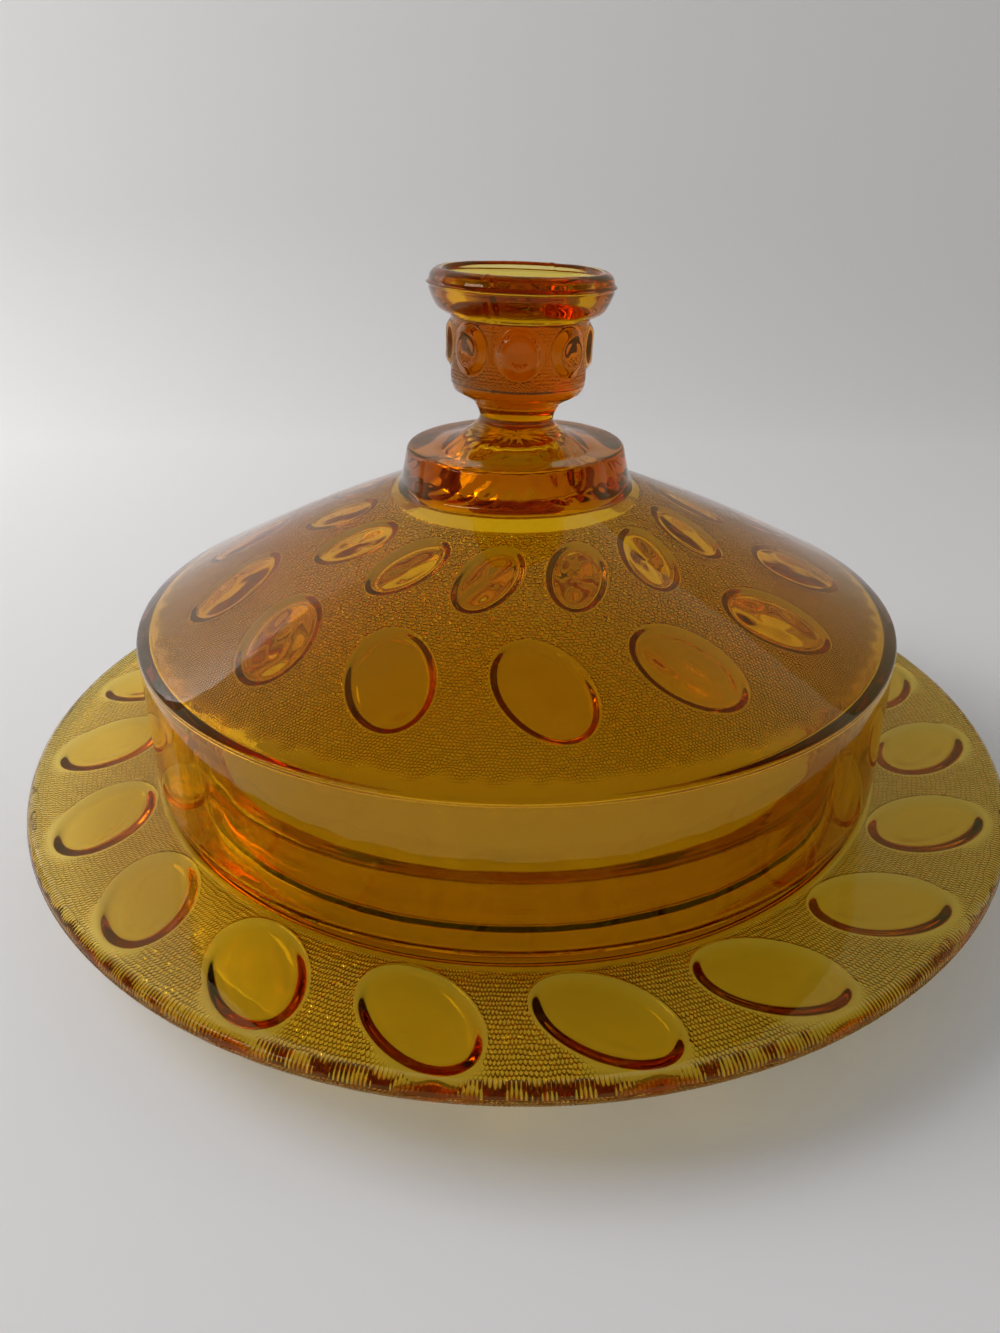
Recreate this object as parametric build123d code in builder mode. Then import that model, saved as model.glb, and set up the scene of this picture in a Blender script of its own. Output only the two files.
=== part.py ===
from build123d import *
from math import atan2, cos, radians, sin, tan
import os

# Covered serving dish in pressed glass: a round footed plate and a lift-off lid.
# Units are millimetres. The origin is on the table, under the middle of the plate, and +Z is up.
# Every outline is drawn in the XZ plane as (radius, height) and turned about the Z axis.

# Plate
PLATE_R = 133.1          # outer radius of the rim
SEAT_Z = 17.0            # height of the flat seat that the lid stands on
RIM_T = 5.0              # thickness of the rim
RIM_RISE = 1.5           # how far the rim climbs from the seat to its outer edge
SEAT_R = 103.0           # outer radius of the flat seat
WELL_Z = 14.0            # top of the well floor
WELL_T = 5.0             # thickness of the well floor
RING_R = 90.0            # outer radius of the ring that locates the lid
RING_T = 4.5             # thickness of that ring
RING_H = 12.5            # height of that ring above the seat
FOOT_R = 98.0            # outer radius of the foot, under the rim
FOOT_T = 6.0             # width of the foot where it stands
RING_DRAFT = 0.4         # how much wider the ring is at the seat than at its top
FOOT_DRAFT = 1.5         # how much the foot narrows towards the table
RIM_ROUND = 2.4          # radius of the rim's edges
RING_TOP_ROUND = 1.2
RING_ROOT_ROUND = 1.5    # where the ring meets the seat
WELL_ROUND = 2.5         # where the ring meets the well
FOOT_ROUND = 1.5         # the foot's standing edges
FOOT_ROOT_ROUND = 3.0    # where the foot meets the rim
FOOT_HOLLOW_ROUND = 2.0  # where the foot meets the underside of the well

# Lid
LID_R = 100.0            # outer radius at the shoulder
LID_FOOT_R = 100.8       # outer radius at the bottom edge
WALL_T = 4.8             # thickness of the upright wall
WALL_H = 38.5            # height from the seat to the shoulder
ROOF_T = 5.2             # thickness of the sloping roof, square to its surface
ROOF_TOP_R = 30.0        # radius where the roof meets the collar
ROOF_TOP_H = 31.7        # height of that place above the shoulder
ROOF_CROWN = 1.0         # how far the roof bows out between collar and shoulder
DOME_R = 10.5            # radius of the hollow's flat top, inside the collar
DOME_TOP_T = 0.8         # how far that flat top lies under the level of the collar
DOME_FOOT_R = 17.5       # radius where the hollow's steep top meets its cone
DOME_ROUND = 4.0
DOME_FOOT_ROUND = 2.5
SHOULDER_ROUND = 1.2
EDGE_ROUND = 1.0         # the lid's bottom edges
INNER_ROUND = 5.0        # inside, where the roof meets the wall
COLLAR_ROUND = 1.4

# Collar and cupped knob, with heights above the collar
COLLAR_R = 27.8          # radius of the collar's top edge
COLLAR_H = 9.8           # height of the collar above the roof
FLARE_R = 21.0           # radius where the stem spreads onto the collar
NECK_R = 9.5             # narrowest radius of the stem
NECK_H = 7.4
SHOULDER_R = 15.4        # radius under the cup
SHOULDER_H = 12.9
CUP_R = 16.8             # outer radius of the cup
CUP_FOOT_H = 15.1        # where the cup's side becomes upright
BEAD_H = 31.0            # underside of the rim's bead
BEAD_INSET_R = 17.7      # radius where the bead starts
BEAD_BELLY = (21.4, 34.0)
FIN_R = 23.0             # widest radius, at the bead's sharp mould line
FIN_H = 38.0
LIP = (20.4, 41.4)       # highest round of the bead
LIP_UNDER_FIN = (22.2, 40.2)
MOUTH_R = 19.0           # radius of the open mouth
MOUTH_H = 40.5
BOWL_SIDE = (12.4, 33.0) # a point on the side of the shallow bowl
BOWL_FLOOR_H = 28.6      # bottom of that bowl
STEM_SINK = 1.5          # how deep the edge of the stem's base is sunk into the collar
LEAN = 2.0               # degrees that the stem and cup lean towards +X

# Raised ovals: half length, half width, turn from the sideways direction, and how far they stand out
PLATE_OVALS = 20
PLATE_OVAL_R = 115.0
PLATE_OVAL = (16.3, 10.6, 40.0, 1.6)
LID_OVALS = 14
LID_OUTER_R = 72.5
LID_OUTER_OVAL = (14.2, 10.0, 62.0, 1.8)
LID_INNER_R = 44.5
LID_INNER_OVAL = (11.4, 7.2, 114.0, 1.8)
CUP_OVALS = 8
CUP_OVAL = (6.3, 5.4, 100.0, 1.3)
CUP_OVAL_H = 24.3        # height of the cup's ovals above the collar
CUP_OVAL_SINK = 2.5      # how deep they reach into the round cup
OVAL_TAPER = 40.0        # slope of an oval's border, in degrees from upright

shoulder_z = SEAT_Z + WALL_H
roof_top_z = shoulder_z + ROOF_TOP_H
collar_z = roof_top_z + COLLAR_H
slope = atan2(ROOF_TOP_H, LID_R - ROOF_TOP_R)
hollow_r = LID_R - WALL_T
under_rim_z = SEAT_Z - RIM_T


def roof_under(r):
    """Height of the plain underside of the roof at radius r."""
    return shoulder_z + (LID_R - r) * tan(slope) - ROOF_T / cos(slope)


def front_plane(r, z, normal_r, normal_z):
    """A plane at radius r on the -Y side, with its x axis sideways and its normal in the YZ plane."""
    return Plane(origin=(0, -r, z), x_dir=(1, 0, 0), z_dir=(0, -normal_r, normal_z))


def oval_pad(where, length, width, turn, height, sink=1.0):
    """An oval with sloping borders that stands height out of a plane and starts sink below it."""
    spread = (height + sink) * tan(radians(OVAL_TAPER))
    with BuildPart() as pad:
        with BuildSketch(where.offset(-sink)):
            Ellipse(length, width, rotation=turn)
        with BuildSketch(where.offset(height)):
            Ellipse(length - spread, width - spread, rotation=turn)
        loft()
    return pad.part


def corner(profile, r, z):
    """The corner of a profile that lies nearest to radius r and height z."""
    return profile.vertices().sort_by_distance((r, z, 0))[0]


def all_round(piece, count, phase=0.0):
    """Copies of a piece at equal steps round the Z axis, turned on by phase steps."""
    return [piece.rotate(Axis.Z, (k + phase) * 360 / count) for k in range(count)]


# The plate: well, locating ring, flat seat, rim and foot in one piece of glass
rim_top_z = SEAT_Z + RIM_RISE
ring_in_r = RING_R - RING_T
ring_top_z = SEAT_Z + RING_H
foot_in_r = FOOT_R - FOOT_T
under_well_z = WELL_Z - WELL_T
rim_tilt = atan2(RIM_RISE, PLATE_R - SEAT_R)

with BuildPart() as base_plate:
    with BuildSketch(Plane.XZ) as plate_profile:
        with BuildLine():
            Polyline(
                (0, WELL_Z),
                (ring_in_r, WELL_Z),
                (ring_in_r, ring_top_z),
                (RING_R, ring_top_z),
                (RING_R + RING_DRAFT, SEAT_Z),
                (SEAT_R, SEAT_Z),
                (PLATE_R, rim_top_z),
                (PLATE_R, rim_top_z - RIM_T),
                (SEAT_R, under_rim_z),
                (FOOT_R, under_rim_z),
                (FOOT_R - FOOT_DRAFT, 0),
                (foot_in_r, 0),
                (foot_in_r - FOOT_DRAFT, under_well_z),
                (0, under_well_z),
                close=True,
            )
        make_face()
        fillet(corner(plate_profile, ring_in_r, WELL_Z), radius=WELL_ROUND)
        fillet(corner(plate_profile, ring_in_r, ring_top_z), radius=RING_TOP_ROUND)
        fillet(corner(plate_profile, RING_R, ring_top_z), radius=RING_TOP_ROUND)
        fillet(corner(plate_profile, RING_R + RING_DRAFT, SEAT_Z), radius=RING_ROOT_ROUND)
        fillet(corner(plate_profile, PLATE_R, rim_top_z), radius=RIM_ROUND)
        fillet(corner(plate_profile, PLATE_R, rim_top_z - RIM_T), radius=RIM_ROUND)
        fillet(corner(plate_profile, FOOT_R, under_rim_z), radius=FOOT_ROOT_ROUND)
        fillet(corner(plate_profile, FOOT_R - FOOT_DRAFT, 0), radius=FOOT_ROUND)
        fillet(corner(plate_profile, foot_in_r, 0), radius=FOOT_ROUND)
        fillet(corner(plate_profile, foot_in_r - FOOT_DRAFT, under_well_z), radius=FOOT_HOLLOW_ROUND)
    revolve(axis=Axis.Z)

    oval_z = under_rim_z + (PLATE_OVAL_R - SEAT_R) * tan(rim_tilt)
    under_rim = front_plane(PLATE_OVAL_R, oval_z, sin(rim_tilt), -cos(rim_tilt))
    add(all_round(oval_pad(under_rim, *PLATE_OVAL), PLATE_OVALS, phase=0.5))

# The lid's wall, roof and collar, over one smooth hollow with a steeper top inside the collar
dome_z = collar_z - DOME_TOP_T
middle_r = (LID_R + ROOF_TOP_R) / 2 + ROOF_CROWN * sin(slope)
middle_z = shoulder_z + ROOF_TOP_H / 2 + ROOF_CROWN * cos(slope)

with BuildPart() as lid:
    with BuildSketch(Plane.XZ) as lid_profile:
        with BuildLine():
            Polyline((0, dome_z), (0, collar_z), (COLLAR_R, collar_z), (ROOF_TOP_R, roof_top_z))
            ThreePointArc((ROOF_TOP_R, roof_top_z), (middle_r, middle_z), (LID_R, shoulder_z))
            Polyline(
                (LID_R, shoulder_z),
                (LID_FOOT_R, SEAT_Z),
                (LID_FOOT_R - WALL_T, SEAT_Z),
                (hollow_r, roof_under(hollow_r)),
                (DOME_FOOT_R, roof_under(DOME_FOOT_R)),
                (DOME_R, dome_z),
                (0, dome_z),
            )
        make_face()
        fillet(corner(lid_profile, COLLAR_R, collar_z), radius=COLLAR_ROUND)
        fillet(corner(lid_profile, LID_R, shoulder_z), radius=SHOULDER_ROUND)
        fillet(corner(lid_profile, LID_FOOT_R, SEAT_Z), radius=EDGE_ROUND)
        fillet(corner(lid_profile, LID_FOOT_R - WALL_T, SEAT_Z), radius=EDGE_ROUND)
        fillet(corner(lid_profile, hollow_r, roof_under(hollow_r)), radius=INNER_ROUND)
        fillet(corner(lid_profile, DOME_FOOT_R, roof_under(DOME_FOOT_R)), radius=DOME_FOOT_ROUND)
        fillet(corner(lid_profile, DOME_R, dome_z), radius=DOME_ROUND)
    revolve(axis=Axis.Z)

# The stem and cup, drawn upright about their own axis with height 0 on the collar. The body of
# the cup is solid glass, and only its rim is hollowed, by a shallow bowl.
with BuildPart() as stem:
    with BuildSketch(Plane.XZ):
        with BuildLine():
            Polyline((0, BOWL_FLOOR_H), (0, 0), (FLARE_R, -STEM_SINK), (FLARE_R, 0))
            Spline(
                (FLARE_R, 0),
                (NECK_R, NECK_H),
                (SHOULDER_R, SHOULDER_H),
                tangents=[(-1, 0.12), (1, 0.25)],
            )
            Spline(
                (SHOULDER_R, SHOULDER_H),
                (CUP_R, CUP_FOOT_H),
                tangents=[(1, 0.25), (0, 1)],
            )
            Line((CUP_R, CUP_FOOT_H), (CUP_R, BEAD_H))
            Line((CUP_R, BEAD_H), (BEAD_INSET_R, BEAD_H))
            ThreePointArc((BEAD_INSET_R, BEAD_H), BEAD_BELLY, (FIN_R, FIN_H))
            ThreePointArc((FIN_R, FIN_H), LIP_UNDER_FIN, LIP)
            Spline(
                LIP,
                (MOUTH_R, MOUTH_H),
                BOWL_SIDE,
                (0, BOWL_FLOOR_H),
                tangents=[(-1, 0), (-1, 0)],
            )
        make_face()
    revolve(axis=Axis.Z)
    boss_plane = Plane(origin=(0, -CUP_R, CUP_OVAL_H), x_dir=(1, 0, 0), z_dir=(0, -1, 0))
    add(all_round(oval_pad(boss_plane, *CUP_OVAL, sink=CUP_OVAL_SINK), CUP_OVALS))

lean = radians(LEAN)
stem_plane = Plane(
    origin=(0, 0, collar_z),
    x_dir=(cos(lean), 0, -sin(lean)),
    z_dir=(sin(lean), 0, cos(lean)),
)
outer_plane = front_plane(LID_OUTER_R, roof_under(LID_OUTER_R), -sin(slope), -cos(slope))
inner_plane = front_plane(LID_INNER_R, roof_under(LID_INNER_R), -sin(slope), -cos(slope))

with lid:
    add(stem.part.moved(stem_plane.location))
    add(all_round(oval_pad(outer_plane, *LID_OUTER_OVAL), LID_OVALS, phase=0.19))
    add(all_round(oval_pad(inner_plane, *LID_INNER_OVAL), LID_OVALS, phase=0.71))

base_plate.part.label = "base_plate"
lid.part.label = "lid"

os.makedirs("parts", exist_ok=True)
export_step(base_plate.part, "parts/base_plate.step")
export_step(lid.part, "parts/lid.step")
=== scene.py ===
"""Covered serving dish in amber pressed glass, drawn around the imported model.

Outlines are in millimetres as (radius, height); objects are in metres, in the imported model's frame:
origin on the table under the dish, +Z up, front at -Y. Both pieces of glass are turned from a closed
outline and pushed along its normal where the glass has raised ovals, stipple or slight waves.
"""
from math import atan2, ceil, cos, hypot, pi, radians, sin, tan

import bpy
import numpy as np
from mathutils import Matrix, Vector


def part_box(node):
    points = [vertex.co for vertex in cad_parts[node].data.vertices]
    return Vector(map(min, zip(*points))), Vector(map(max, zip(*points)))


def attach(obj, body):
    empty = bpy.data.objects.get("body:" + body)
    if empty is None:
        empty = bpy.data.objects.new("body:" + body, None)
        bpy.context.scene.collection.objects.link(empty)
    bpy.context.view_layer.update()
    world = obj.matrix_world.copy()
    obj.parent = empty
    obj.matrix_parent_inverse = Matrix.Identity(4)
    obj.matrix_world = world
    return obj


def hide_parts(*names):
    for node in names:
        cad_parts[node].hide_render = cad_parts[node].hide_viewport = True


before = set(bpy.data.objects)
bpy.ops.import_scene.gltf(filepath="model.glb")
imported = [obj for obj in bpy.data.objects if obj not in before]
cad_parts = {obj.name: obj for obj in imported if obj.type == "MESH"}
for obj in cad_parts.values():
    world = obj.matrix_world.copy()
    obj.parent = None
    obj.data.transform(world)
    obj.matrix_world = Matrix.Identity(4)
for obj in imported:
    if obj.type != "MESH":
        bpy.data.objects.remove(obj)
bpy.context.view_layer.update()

MM = 0.001
plate_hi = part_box("base_plate")[1] / MM
lid_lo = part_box("lid")[0] / MM

# Plate (mm)
SKIN = 0.2                   # room left inside the CAD box for the glass's slight waves
PLATE_R = plate_hi.x - SKIN
SEAT_Z = lid_lo.z            # the flat seat that the lid stands on
RIM_T = 5.0
RIM_RISE = 1.5
SEAT_R = 103.0
WELL_Z = 14.0
WELL_T = 5.0
RING_R = 90.0
RING_T = 4.5
RING_TOP = plate_hi.z
FOOT_R = 98.0
FOOT_T = 6.0
FOOT_DRAFT = 1.5

# Lid (mm)
LID_R = 100.0
LID_FOOT_R = -lid_lo.y
WALL_T = 4.8
SHOULDER_Z = SEAT_Z + 38.5
ROOF_T = 5.2
ROOF_TOP_R = 30.0
ROOF_TOP_Z = SHOULDER_Z + 31.7
ROOF_CROWN = 1.0
DOME_R = 10.5                # the hollow's flat top, inside the collar
DOME_FOOT_R = 17.5           # where the hollow's steep top meets its cone
COLLAR_R = 27.8
COLLAR_Z = ROOF_TOP_Z + 9.8
DOME_Z = COLLAR_Z - 0.8
CUP_R = 16.8
CUP_OVAL_H = 24.3            # height of the cup's ovals above the collar
LEAN = radians(2.0)          # of the stem and cup, towards +X
SEAM_ANGLE = radians(-23.0)  # of the mould seam on the knob
GAP = 0.06                   # air left between the lid and its seat

# Relief of the glass (mm)
PLATE_CELL = 0.36            # mesh cells where the glass is stippled
LID_CELL = 0.34
PLATE_PITCH = 1.35           # between beads, which the lid's pitch also reaches at its widest
BEAD_R = 0.5                 # of the spacing along a row
ROW_PITCH = 0.87             # between rows, of the same spacing
BEAD_BUMP = 0.00024          # in metres, the height that the bump adds to the beads
FLOOR_GAP = 0.02             # air left under the foot
OUTSIDE = -9                 # depth given to points that no oval is near
WAVE_H = 0.02
SEAM_H = 0.22

# Numbers of points that a turned row may have, so that neighbouring rows mostly match
ROW_COUNTS = (24, 48, 96, 144, 192, 288, 384, 480, 576, 768, 960, 1152, 1344, 1536, 1728, 2016, 2304)

roof_slope = atan2(ROOF_TOP_Z - SHOULDER_Z, LID_R - ROOF_TOP_R)
rim_slope = atan2(RIM_RISE, PLATE_R - SEAT_R)


# ------------------------------------------------------------------ outlines

def above_collar(r, height, *rest):
    return (r, COLLAR_Z + height, *rest)


def roof_under(r):
    """Height of the plain underside of the roof."""
    return SHOULDER_Z + (LID_R - r) * tan(roof_slope) - ROOF_T / cos(roof_slope)


def smooth_curve(knots, step, zone):
    """Corners along a Catmull-Rom curve through the knots, for rounded_outline."""
    first, last = np.array(knots[0]), np.array(knots[-1])
    ends = [2 * first - knots[1], *map(np.array, knots), 2 * last - knots[-2]]
    corners = []
    for p0, p1, p2, p3 in zip(ends, ends[1:], ends[2:], ends[3:]):
        n = max(2, ceil(np.linalg.norm(p2 - p1) / max(step, 0.4)))
        for t in np.arange(n) / n:
            p = 0.5 * (2 * p1 + (p2 - p0) * t + (2 * p0 - 5 * p1 + 4 * p2 - p3) * t ** 2
                       + (3 * p1 - p0 - 3 * p2 + p3) * t ** 3)
            corners.append((p[0], p[1], 0, step, zone))
    corners.append((*knots[-1], 0, step, zone))
    return corners


def rounded_outline(corners):
    """Rows (r, z, zone) of an outline from corners (r, z, rounding, step, zone).

    A corner's step and zone hold from that corner to the next one.
    """
    rows = []
    for k, (r, z, rounding, step, zone) in enumerate(corners):
        here = np.array((r, z), float)
        if not rounding:
            rows.append((r, z, step, zone))
            continue
        before, after = (np.array(corners[k + side][:2], float) - here for side in (-1, 1))
        room = 0.49 * min(np.linalg.norm(before), np.linalg.norm(after))
        before, after = before / np.linalg.norm(before), after / np.linalg.norm(after)
        half = 0.5 * np.arccos(np.clip(before @ after, -1, 1))
        reach = min(rounding / tan(half), room)
        centre = here + (before + after) / np.linalg.norm(before + after) * reach / cos(half)
        start, end = here + before * reach - centre, here + after * reach - centre
        turn = pi - 2 * half
        finest = min(step, corners[k - 1][3], 0.5)
        n = max(4, ceil(np.linalg.norm(start) * turn / finest))
        for j in range(n + 1):
            arm = (start * sin((1 - j / n) * turn) + end * sin(j / n * turn)) / sin(turn)
            rows.append((*(centre + arm), step, zone))
    full = [(rows[0][0], rows[0][1], rows[0][3])]
    for (r0, z0, step, zone), (r1, z1, _, next_zone) in zip(rows, rows[1:]):
        length = hypot(r1 - r0, z1 - z0)
        n = max(1, ceil(length / step - 0.01))
        full += [(r0 + (r1 - r0) * j / n, z0 + (z1 - z0) * j / n, zone) for j in range(1, n)]
        if length > 1e-4:
            full.append((r1, z1, next_zone))
    return full


# ------------------------------------------------------------------ relief

def smoothstep(x):
    x = np.clip(x, 0, 1)
    return x * x * (3 - 2 * x)


def wander(length, angle, lobes, pace, seed):
    """A smooth, seeded unevenness of about 1, with that many lobes round and waves along (in 1/mm)."""
    rng = np.random.default_rng(seed)
    total = np.zeros_like(length)
    for _ in range(8):
        total += np.sin(rng.integers(*lobes) * angle + rng.uniform(-pace, pace) * length
                        + rng.uniform(0, 2 * pi))
    return total / 2


class Ovals:
    """A ring of raised ovals on a cone: count, phase in steps, centre radius, half axes, turn, slope."""

    def __init__(self, count, phase, radius, half_axes, turn, slope):
        self.step = 2 * pi / count
        self.phase = phase * self.step
        self.radius, self.half_axes, self.turn, self.slope = radius, half_axes, radians(turn), slope

    def depth(self, r, angle):
        """Distance inside the nearest oval's border, in mm, negative outside it."""
        away = (angle - self.phase + self.step / 2) % self.step - self.step / 2
        slant, opened = r / cos(self.slope), away * cos(self.slope)
        around = slant * np.sin(opened)
        out = slant * np.cos(opened) - self.radius / cos(self.slope)
        along = around * cos(self.turn) + out * sin(self.turn)
        across = out * cos(self.turn) - around * sin(self.turn)
        return oval_depth(along, across, *self.half_axes)


def oval_depth(along, across, long_half, short_half):
    a, b = along / long_half, across / short_half
    e = np.hypot(a, b) + 1e-9
    return (1 - e) * e / (np.hypot(a / long_half, b / short_half) + 1e-9)


def raised(depth, height, run):
    """Height of a raised oval at a depth inside its border, with a sloping border run wide."""
    lip = 0.12 * np.exp(-((depth / run - 1.25) / 0.3) ** 2)
    return height * smoothstep(depth / run) + lip * (depth > 0)


def pad_waves(depth, length, angle, lobes, seed):
    """Uneven faces of the raised ovals, in mm."""
    dome = 0.6 * smoothstep(depth / 9.0)
    return dome + 0.07 * smoothstep(depth / 3.0) * wander(length, angle, (lobes // 3, lobes), 0.55, seed)


def bead(u, v):
    """Round beads in staggered rows, one to each unit of u and v: 0 between them, 1 on top."""
    near = np.full_like(v, 9.0)
    for row in (np.floor(v), np.floor(v - 0.5) * 2 + 1 - np.floor(v)):
        across = (u + 0.5 * (row % 2)) % 1 - 0.5
        near = np.minimum(near, across ** 2 + (ROW_PITCH * (v - row - 0.5)) ** 2)
    return np.sqrt(np.clip(1 - near / BEAD_R ** 2, 0, 1))


def plate_pitch(r):
    return np.full_like(r, PLATE_PITCH)


def lid_pitch(r):
    """Beads are widest at the top of the roof, and finer towards the shoulder and on the cup."""
    return np.interp(r, (17, 30, 92), (0.9, PLATE_PITCH, 0.8))


# ------------------------------------------------------------------ turned glass

class Turned:
    """A closed outline turned into rows of points, which can be pushed along the outline's normals."""

    def __init__(self, outline, cells):
        points = np.array([row[:2] for row in outline])
        zones = np.array([row[2] for row in outline])
        along = np.gradient(points, axis=0)
        along /= np.linalg.norm(along, axis=1)[:, None]
        self.counts = [self.row_count(r, cells.get(zone, 2.0)) for (r, _), zone in zip(points, zones)]
        self.starts = np.concatenate([[0], np.cumsum(self.counts)]).astype(int)
        row = np.repeat(np.arange(len(points)), self.counts)
        steps = np.linalg.norm(np.diff(points, axis=0), axis=1)
        self.row_r = points[:, 0]
        self.angle = 2 * pi * (np.arange(len(row)) - self.starts[row]) / np.array(self.counts)[row]
        self.r, self.z = points[row].T
        self.normal_r, self.normal_z = along[row, 1], -along[row, 0]
        self.row_length = np.concatenate([[0], np.cumsum(steps)])
        self.length = self.row_length[row]
        self.zone = zones[row]
        self.grain = np.zeros(len(row))
        self.bead_u = np.zeros(len(row))
        self.bead_v = np.zeros(len(row))
        self.beads_round = np.ones_like

    @staticmethod
    def row_count(r, cell):
        if r < 1e-6:
            return 1
        return next((n for n in ROW_COUNTS if n >= 2 * pi * r / cell), ROW_COUNTS[-1])

    def stipple(self, share, pitch, band_width, jitter, height, seed):
        """Beads of that pitch (a function of the radius) on the share of each point that is stippled."""
        def beads_round(r):
            middle = (np.floor(r / band_width) + 0.5) * band_width
            return np.maximum(np.round(2 * pi * middle / pitch(middle)), 1)

        self.beads_round = beads_round
        step = np.diff(self.row_length, prepend=0)
        rows = np.cumsum(step / pitch(self.row_r)) / ROW_PITCH
        lobes = (50, 130)
        self.bead_u = jitter * wander(self.length, self.angle, lobes, 2.2, seed)
        self.bead_v = np.repeat(rows, self.counts)
        self.bead_v += jitter * wander(self.length, self.angle, lobes, 2.2, seed + 1)
        self.grain = share
        turns = self.angle / (2 * pi) * self.beads_round(self.r) + self.bead_u
        return share * height * bead(turns, self.bead_v)

    def push(self, distance):
        self.r = np.maximum(self.r + self.normal_r * distance, 0)
        self.z = self.z + self.normal_z * distance

    def coordinates(self):
        return np.stack([self.r * np.sin(self.angle), -self.r * np.cos(self.angle), self.z], axis=1)

    def faces(self):
        """Quads and triangles that join each row to the next, and the row that each starts from."""
        found, strips = [], []
        for k, (n0, n1) in enumerate(zip(self.counts, self.counts[1:])):
            a0, a1 = self.starts[k], self.starts[k + 1]
            before = len(found)
            i, j = np.arange(n0), np.arange(n1)
            if n0 == n1 > 1:
                after = (i + 1) % n0
                found += np.stack([a0 + i, a0 + after, a1 + after, a1 + i], axis=1).tolist()
            elif n0 != n1:
                if n0 > 1:
                    apex = np.ceil((i + 0.5) * n1 / n0 - 0.5).astype(int) % n1
                    found += np.stack([a0 + i, a0 + (i + 1) % n0, a1 + apex], axis=1).tolist()
                if n1 > 1:
                    apex = np.floor((j + 0.5) * n0 / n1 + 0.5).astype(int) % n0
                    found += np.stack([a1 + (j + 1) % n1, a1 + j, a0 + apex], axis=1).tolist()
            strips += [k] * (len(found) - before)
        return found, np.array(strips)

    def make(self, name, coordinates):
        """The mesh object, with the beads' places as a UV map and their share as an attribute."""
        faces, strips = self.faces()
        mesh = bpy.data.meshes.new(name)
        mesh.from_pydata((coordinates * MM).tolist(), [], faces)
        mesh.shade_smooth()
        corner = np.empty(len(mesh.loops), np.int32)
        first = np.empty(len(mesh.polygons), np.int32)
        mesh.loops.foreach_get("vertex_index", corner)
        mesh.polygons.foreach_get("loop_start", first)
        sizes = np.diff(np.append(first, len(corner)))
        angle = self.angle[corner]
        furthest = np.repeat(np.maximum.reduceat(angle, first), sizes)
        angle = np.where(furthest - angle > pi, angle + 2 * pi, angle)
        middle = (self.row_r[strips] + self.row_r[strips + 1]) / 2
        turns = angle / (2 * pi) * np.repeat(self.beads_round(middle), sizes)
        places = np.stack([turns + self.bead_u[corner], self.bead_v[corner]], axis=1)
        mesh.uv_layers.new(name="beads").data.foreach_set("uv", places.astype(np.float32).ravel())
        grain = mesh.attributes.new("grain", "FLOAT", "POINT")
        grain.data.foreach_set("value", self.grain.astype(np.float32))
        obj = bpy.data.objects.new(name, mesh)
        bpy.context.scene.collection.objects.link(obj)
        return obj


def build_plate():
    rim_top, rim_under = SEAT_Z + RIM_RISE, SEAT_Z - RIM_T
    ring_in, foot_in = RING_R - RING_T, FOOT_R - FOOT_T
    well_under = WELL_Z - WELL_T
    glass = Turned(rounded_outline([
        (0, well_under, 0, 5, "smooth"),
        (foot_in - FOOT_DRAFT, well_under, 2.0, 1.5, "smooth"),
        (foot_in, 0, 1.5, 1.5, "smooth"),
        (FOOT_R - FOOT_DRAFT, 0, 1.5, 1.5, "smooth"),
        (FOOT_R, rim_under, 3.0, PLATE_CELL, "under_rim"),
        (PLATE_R, rim_top - RIM_T, 2.4, PLATE_CELL, "under_rim"),
        (PLATE_R, rim_top, 2.4, 2.0, "smooth"),
        (SEAT_R, SEAT_Z, 0, 2.0, "smooth"),
        (RING_R + 0.4, SEAT_Z, 1.5, 1.5, "smooth"),
        (RING_R, RING_TOP, 1.2, 1.0, "smooth"),
        (ring_in, RING_TOP, 1.2, 1.5, "smooth"),
        (ring_in, WELL_Z, 2.5, 3.0, "smooth"),
        (0, WELL_Z, 0, 5, "smooth"),
    ]), {"under_rim": PLATE_CELL})
    r, angle, length = glass.r, glass.angle, glass.length
    ovals = Ovals(20, 0.5, 115.0, (16.3, 10.6), 40.0, rim_slope)
    depth = np.where(glass.zone == "under_rim", ovals.depth(r, angle), OUTSIDE)
    clear = 0.5 + 3.5 * smoothstep((r - 123.0) / 4.0)
    ground = (glass.zone == "under_rim") * smoothstep((r - 101.0) / 1.0) * smoothstep(-depth / clear)
    relief = raised(depth, 1.5, 3.2) + pad_waves(depth, length, angle, 48, 22)
    relief += glass.stipple(ground, plate_pitch, 400, 0.11, 0.16, 3)
    unevenness = WAVE_H * wander(length, angle, (3, 22), 0.16, 11)
    glass.push(relief + unevenness)
    coordinates = glass.coordinates()
    coordinates[:, 2] = np.maximum(coordinates[:, 2], FLOOR_GAP)
    return glass.make("plate_glass", coordinates)


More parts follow.
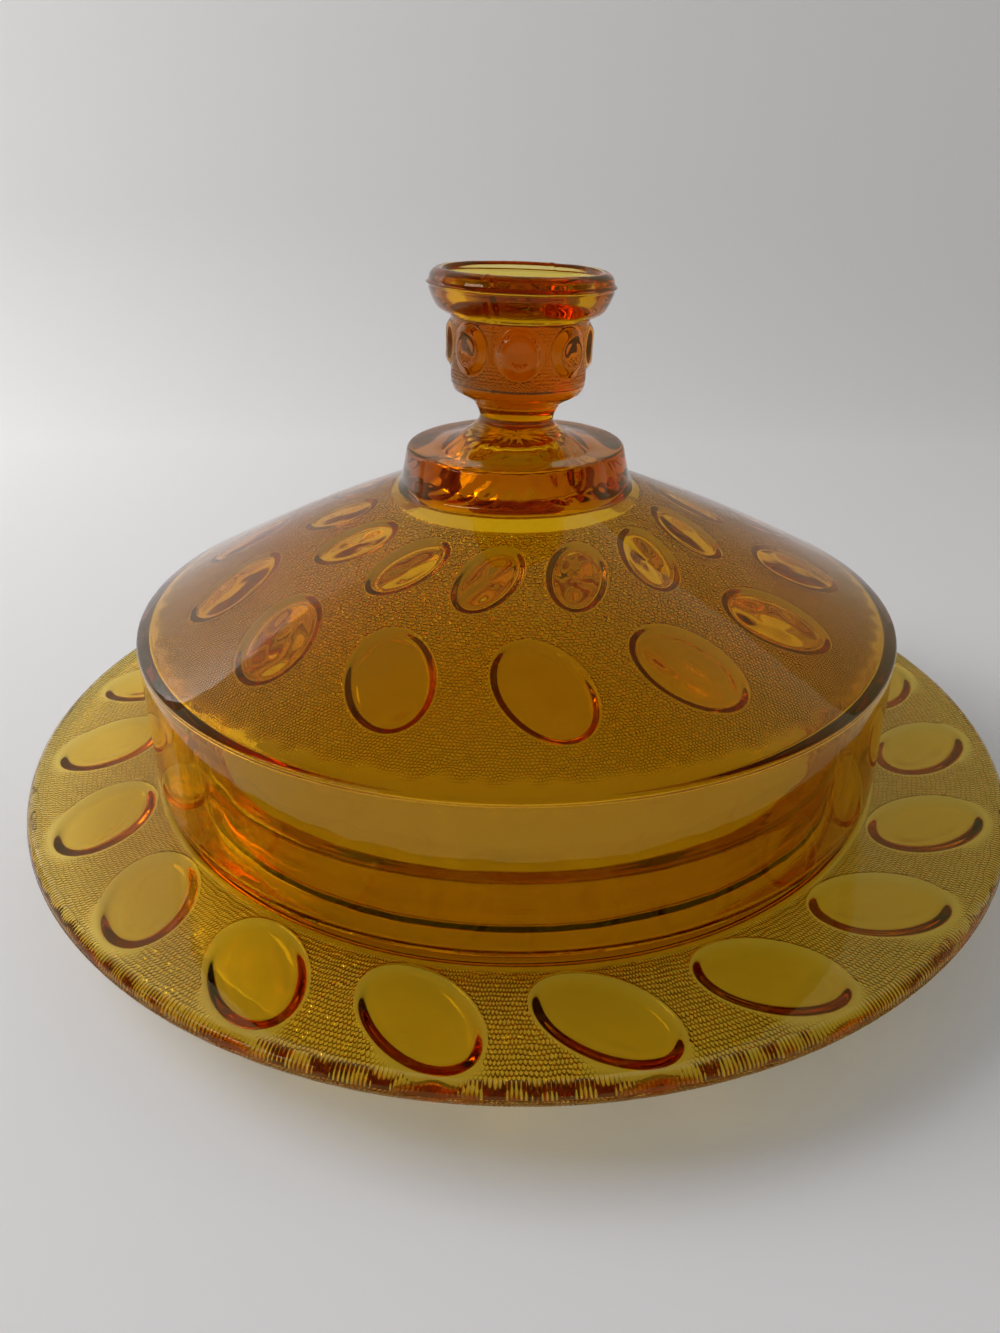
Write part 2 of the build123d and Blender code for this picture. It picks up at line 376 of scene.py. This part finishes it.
def build_lid():
    hollow_r, bottom = LID_R - WALL_T, SEAT_Z + GAP
    crown = ((LID_R + ROOF_TOP_R) / 2 + ROOF_CROWN * sin(roof_slope),
             (SHOULDER_Z + ROOF_TOP_Z) / 2 + ROOF_CROWN * cos(roof_slope))
    roof = smooth_curve([(LID_R - 1.3, SHOULDER_Z + 0.75), crown, (ROOF_TOP_R, ROOF_TOP_Z)], 2.0, "smooth")
    stem = smooth_curve([above_collar(*p) for p in (
        (21.0, 0.1), (14.2, 2.1), (10.0, 5.2), (9.5, 7.4), (10.9, 10.2), (13.6, 12.0), (15.9, 13.4),
        (16.8, 15.4))], 0.8, "fine")
    bead_side = smooth_curve([above_collar(*p) for p in (
        (17.0, 30.8), (17.7, 31.0), (20.4, 32.7), (22.1, 36.0), (22.4, 37.6))], 0.5, "fine")
    lip = smooth_curve([above_collar(*p) for p in (
        (22.4, 38.5), (21.8, 40.2), (20.4, 41.3), (19.4, 41.1), (19.0, 40.5))], 0.5, "fine")
    bowl = smooth_curve([above_collar(*p) for p in (
        (18.7, 39.8), (15.6, 36.2), (12.4, 33.0), (9.0, 30.4), (4.5, 28.9), (0, 28.6))], 0.6, "fine")
    glass = Turned(rounded_outline([
        (0, DOME_Z, 0, 1.0, "fine"),
        (DOME_R, DOME_Z, 4.0, 0.8, "fine"),
        (DOME_FOOT_R, roof_under(DOME_FOOT_R), 2.5, 0.8, "fine"),
        (29.5, roof_under(29.5), 0, LID_CELL, "under_roof"),
        (94.5, roof_under(94.5), 0, 1.0, "smooth"),
        (hollow_r, roof_under(hollow_r), 4.0, 2.0, "smooth"),
        (LID_FOOT_R - WALL_T, bottom, 1.0, 0.8, "smooth"),
        (LID_FOOT_R, bottom, 1.0, 2.0, "smooth"),
        (LID_R, SHOULDER_Z, 1.2, 2.0, "smooth"),
        *roof[1:],
        (COLLAR_R, COLLAR_Z, 1.4, 1.5, "smooth"),
        *stem,
        above_collar(CUP_R, 15.5, 0, LID_CELL, "cup"),
        above_collar(CUP_R, 30.4, 0, 0.5, "fine"),
        *bead_side,
        above_collar(23.0, 38.0, 0, 0.4, "fine"),
        *lip,
        *bowl,
    ]), {"under_roof": LID_CELL, "fine": 0.7, "cup": LID_CELL})
    r, angle, length = glass.r, glass.angle, glass.length
    under_roof, cup = glass.zone == "under_roof", glass.zone == "cup"
    outer = Ovals(14, 0.19, 72.5, (14.2, 10.0), 62.0, roof_slope)
    inner = Ovals(14, 0.71, 44.5, (11.4, 7.2), 114.0, roof_slope)
    depth = np.where(under_roof, np.maximum(outer.depth(r, angle), inner.depth(r, angle)), OUTSIDE)

    height = glass.z - COLLAR_Z
    sideways = CUP_R * np.sin((angle + pi / 8) % (pi / 4) - pi / 8)
    upwards, tilt = height - CUP_OVAL_H, radians(100)
    along = sideways * cos(tilt) + upwards * sin(tilt)
    across = upwards * cos(tilt) - sideways * sin(tilt)
    boss_depth = np.where(cup, oval_depth(along, across, 6.3, 5.9), OUTSIDE)

    ragged = 0.4 * wander(length, angle, (20, 90), 0.8, 5)
    ground = under_roof * smoothstep(r - 31.0) * smoothstep((94.0 + ragged - r) / 4.0)
    ground = np.where(under_roof, ground * smoothstep(-depth / 0.5), 0)
    cup_ground = cup * smoothstep(height - 15.8) * smoothstep(30.2 - height) * smoothstep(-boss_depth / 0.4)
    relief = raised(depth, 1.7, 1.8) + raised(boss_depth, 1.2, 2.6)
    relief += pad_waves(depth, length, angle, 32, 21)
    share = (ground + cup_ground) * lid_pitch(r) / PLATE_PITCH
    relief += glass.stipple(share, lid_pitch, 4, 0.17, 0.13, 4)
    unevenness = WAVE_H * wander(length, angle, (3, 22), 0.16, 12)
    in_dome = smoothstep((22.0 - r) / 4.0) * (glass.z < DOME_Z + 0.01)
    unevenness += 0.09 * in_dome * wander(length, angle, (8, 26), 1.6, 13)
    off_seam = r * np.sin(angle - SEAM_ANGLE)
    knob = smoothstep((height - 0.5) / 2.0) * (glass.z > DOME_Z + 0.01) * smoothstep((r - 6.0) / 3.0)
    relief += SEAM_H * knob * np.exp(-(off_seam / 0.3) ** 2)
    glass.push(relief + unevenness)

    points = glass.coordinates()
    x, z = points[:, 0].copy(), points[:, 2] - COLLAR_Z
    lean = LEAN * smoothstep(z / 4.0)
    points[:, 0] = x * np.cos(lean) + z * np.sin(lean)
    points[:, 2] = COLLAR_Z + z * np.cos(lean) - x * np.sin(lean)
    return glass.make("lid_glass", points)


# ------------------------------------------------------------------ materials

class Shader:
    """Short ways to add nodes to a node tree."""

    def __init__(self, tree):
        self.nodes, self.links = tree.nodes, tree.links

    def node(self, kind, **inputs):
        node = self.nodes.new(kind)
        for name, value in inputs.items():
            self.feed(node.inputs[name.replace("_", " ")], value)
        return node

    def feed(self, socket, value):
        if isinstance(value, bpy.types.NodeSocket):
            self.links.new(value, socket)
        else:
            socket.default_value = value

    def math(self, operation, *values, clamp=False):
        node = self.nodes.new("ShaderNodeMath")
        node.operation, node.use_clamp = operation, clamp
        for socket, value in zip(node.inputs, values):
            self.feed(socket, value)
        return node.outputs[0]


def bead_height(shader):
    """The same beads as the mesh has, from the places in the UV map, for their crisp edges."""
    places = shader.nodes.new("ShaderNodeUVMap")
    places.uv_map = "beads"
    split = shader.node("ShaderNodeSeparateXYZ", Vector=places.outputs["UV"])
    u, v = split.outputs["X"], split.outputs["Y"]
    own = shader.math("FLOOR", v)
    half_back = shader.math("FLOOR", shader.math("SUBTRACT", v, 0.5))
    other = shader.math("SUBTRACT", shader.math("MULTIPLY_ADD", half_back, 2.0, 1.0), own)
    nearness = []
    for row in (own, other):
        stagger = shader.math("MULTIPLY_ADD", shader.math("FLOORED_MODULO", row, 2.0), 0.5, u)
        across = shader.math("SUBTRACT", shader.math("FRACT", stagger), 0.5)
        down = shader.math("SUBTRACT", shader.math("SUBTRACT", v, row), 0.5)
        down = shader.math("MULTIPLY", down, ROW_PITCH)
        nearness.append(shader.math("MULTIPLY_ADD", across, across, shader.math("MULTIPLY", down, down)))
    spread = shader.math("DIVIDE", shader.math("MINIMUM", *nearness), BEAD_R ** 2)
    dome = shader.math("SQRT", shader.math("SUBTRACT", 1.0, spread, clamp=True))
    share = shader.nodes.new("ShaderNodeAttribute")
    share.attribute_name = "grain"
    return shader.math("MULTIPLY", dome, share.outputs["Fac"])


def amber_glass():
    """Amber glass: a clear, slightly uneven surface, and colour from absorption on the way through."""
    material = bpy.data.materials.new("amber_glass")
    material.use_nodes = True
    shader = Shader(material.node_tree)
    shader.nodes.clear()
    coordinates = shader.nodes.new("ShaderNodeTexCoord")
    ripple = shader.node("ShaderNodeTexNoise", Vector=coordinates.outputs["Object"], Scale=90.0, Detail=1.0)
    ripples = shader.node("ShaderNodeBump", Height=ripple.outputs["Fac"], Distance=0.00012, Strength=1.0)
    beads = shader.node("ShaderNodeBump", Height=bead_height(shader), Distance=BEAD_BUMP, Strength=1.0,
                        Normal=ripples.outputs["Normal"])
    surface = shader.node("ShaderNodeBsdfPrincipled", Base_Color=(1, 1, 1, 1), Transmission_Weight=1.0,
                          Roughness=0.0, IOR=1.52, Normal=beads.outputs["Normal"])
    volume = shader.node("ShaderNodeVolumeAbsorption", Color=(0.947, 0.794, 0.03, 1), Density=340.0)
    output = shader.nodes.new("ShaderNodeOutputMaterial")
    shader.links.new(surface.outputs["BSDF"], output.inputs["Surface"])
    shader.links.new(volume.outputs["Volume"], output.inputs["Volume"])
    return material


def glowing_paper():
    """Pale paper that glows a little, so that light comes up through the glass."""
    material = bpy.data.materials.new("pale_paper")
    material.use_nodes = True
    surface = material.node_tree.nodes["Principled BSDF"]
    surface.inputs["Base Color"].default_value = (0.70, 0.685, 0.665, 1)
    surface.inputs["Roughness"].default_value = 0.9
    surface.inputs["Emission Color"].default_value = (1.0, 1.0, 0.98, 1)
    surface.inputs["Emission Strength"].default_value = 0.16
    return material


# ------------------------------------------------------------------ camera, stage and light

def make_camera():
    data = bpy.data.cameras.new("camera")
    data.sensor_width = 36
    data.lens = 25.27
    data.clip_start = 0.01
    camera = bpy.data.objects.new("camera", data)
    pitch, yaw, roll = radians(27.84), radians(-0.98), radians(-0.16)
    ahead = Vector((sin(yaw) * cos(pitch), cos(yaw) * cos(pitch), -sin(pitch)))
    right = Vector((cos(yaw), -sin(yaw), 0))
    up = right.cross(ahead)
    side, top = cos(roll) * right + sin(roll) * up, cos(roll) * up - sin(roll) * right
    turn = Matrix((side, top, -ahead)).transposed()
    camera.matrix_world = Matrix.Translation((0, -0.2410, 0.1585)) @ turn.to_4x4()
    bpy.context.scene.collection.objects.link(camera)
    bpy.context.scene.camera = camera


def make_stage():
    """A pale floor that bends up into a wall behind."""
    front, bend, radius, top, half_width, steps = -2.0, 0.37, 0.14, 0.75, 2.0, 12
    line = [(front, 0.0)]
    for k in range(steps + 1):
        turn = pi / 2 * k / steps
        line.append((bend + radius * sin(turn), radius * (1 - cos(turn))))
    line.append((bend + radius, top))
    points = [(x, y, z) for y, z in line for x in (-half_width, half_width)]
    faces = [(2 * k, 2 * k + 1, 2 * k + 3, 2 * k + 2) for k in range(len(line) - 1)]
    mesh = bpy.data.meshes.new("sweep")
    mesh.from_pydata(points, [], faces)
    mesh.shade_smooth()
    mesh.materials.append(glowing_paper())
    sweep = bpy.data.objects.new("sweep", mesh)
    bpy.context.scene.collection.objects.link(sweep)


def make_world():
    """A pale studio, darker overhead and towards the camera's side."""
    world = bpy.data.worlds.new("studio")
    bpy.context.scene.world = world
    world.use_nodes = True
    shader = Shader(world.node_tree)
    background = shader.nodes["Background"]
    direction = shader.nodes.new("ShaderNodeTexCoord")
    split = shader.node("ShaderNodeSeparateXYZ", Vector=direction.outputs["Generated"])
    back = shader.math("MULTIPLY_ADD", split.outputs["Y"], 0.5, 0.5)
    ramp = shader.node("ShaderNodeValToRGB", Fac=shader.math("MULTIPLY_ADD", split.outputs["Z"], -0.3, back))
    dark, light = ramp.color_ramp.elements
    dark.position, dark.color = 0.30, (0.13, 0.13, 0.14, 1)
    light.position, light.color = 0.60, (0.95, 0.97, 1.0, 1)
    shader.links.new(ramp.outputs["Color"], background.inputs["Color"])
    background.inputs["Strength"].default_value = 0.72


def area_light(name, location, size, energy, mirrored=False):
    """A soft lamp: one that lights the scene unseen, or one that is only mirrored in the glass."""
    data = bpy.data.lights.new(name, "AREA")
    data.shape = "RECTANGLE"
    data.size, data.size_y = size
    data.energy = energy
    lamp = bpy.data.objects.new(name, data)
    lamp.location = location
    lamp.rotation_euler = (Vector((0, 0, 0.02)) - lamp.location).to_track_quat("-Z", "Y").to_euler()
    lamp.visible_glossy = mirrored
    lamp.visible_diffuse = lamp.visible_transmission = not mirrored
    bpy.context.scene.collection.objects.link(lamp)


make_camera()
make_stage()
make_world()
area_light("window", (-1.0, 0.2, 0.72), (0.8, 0.7), 12.0)
area_light("streak", (-0.8, -0.55, 0.53), (0.7, 0.12), 0.9, mirrored=True)

glass_material = amber_glass()
for piece, body, node in ((build_plate(), "plate", "base_plate"), (build_lid(), "cover", "lid")):
    piece.data.materials.append(glass_material)
    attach(piece, body)
    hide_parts(node)

scene = bpy.context.scene
scene.view_settings.view_transform = "Standard"
scene.view_settings.use_curve_mapping = True
blue = scene.view_settings.curve_mapping.curves[2]
for place in ((0.02, 0.006), (0.06, 0.036), (0.15, 0.13), (0.3, 0.3)):
    blue.points.new(*place)
scene.view_settings.curve_mapping.update()
scene.cycles.use_adaptive_sampling = False
scene.cycles.sample_clamp_indirect = 0
scene.cycles.max_bounces = 32
scene.cycles.transmission_bounces = 32
scene.cycles.glossy_bounces = 16
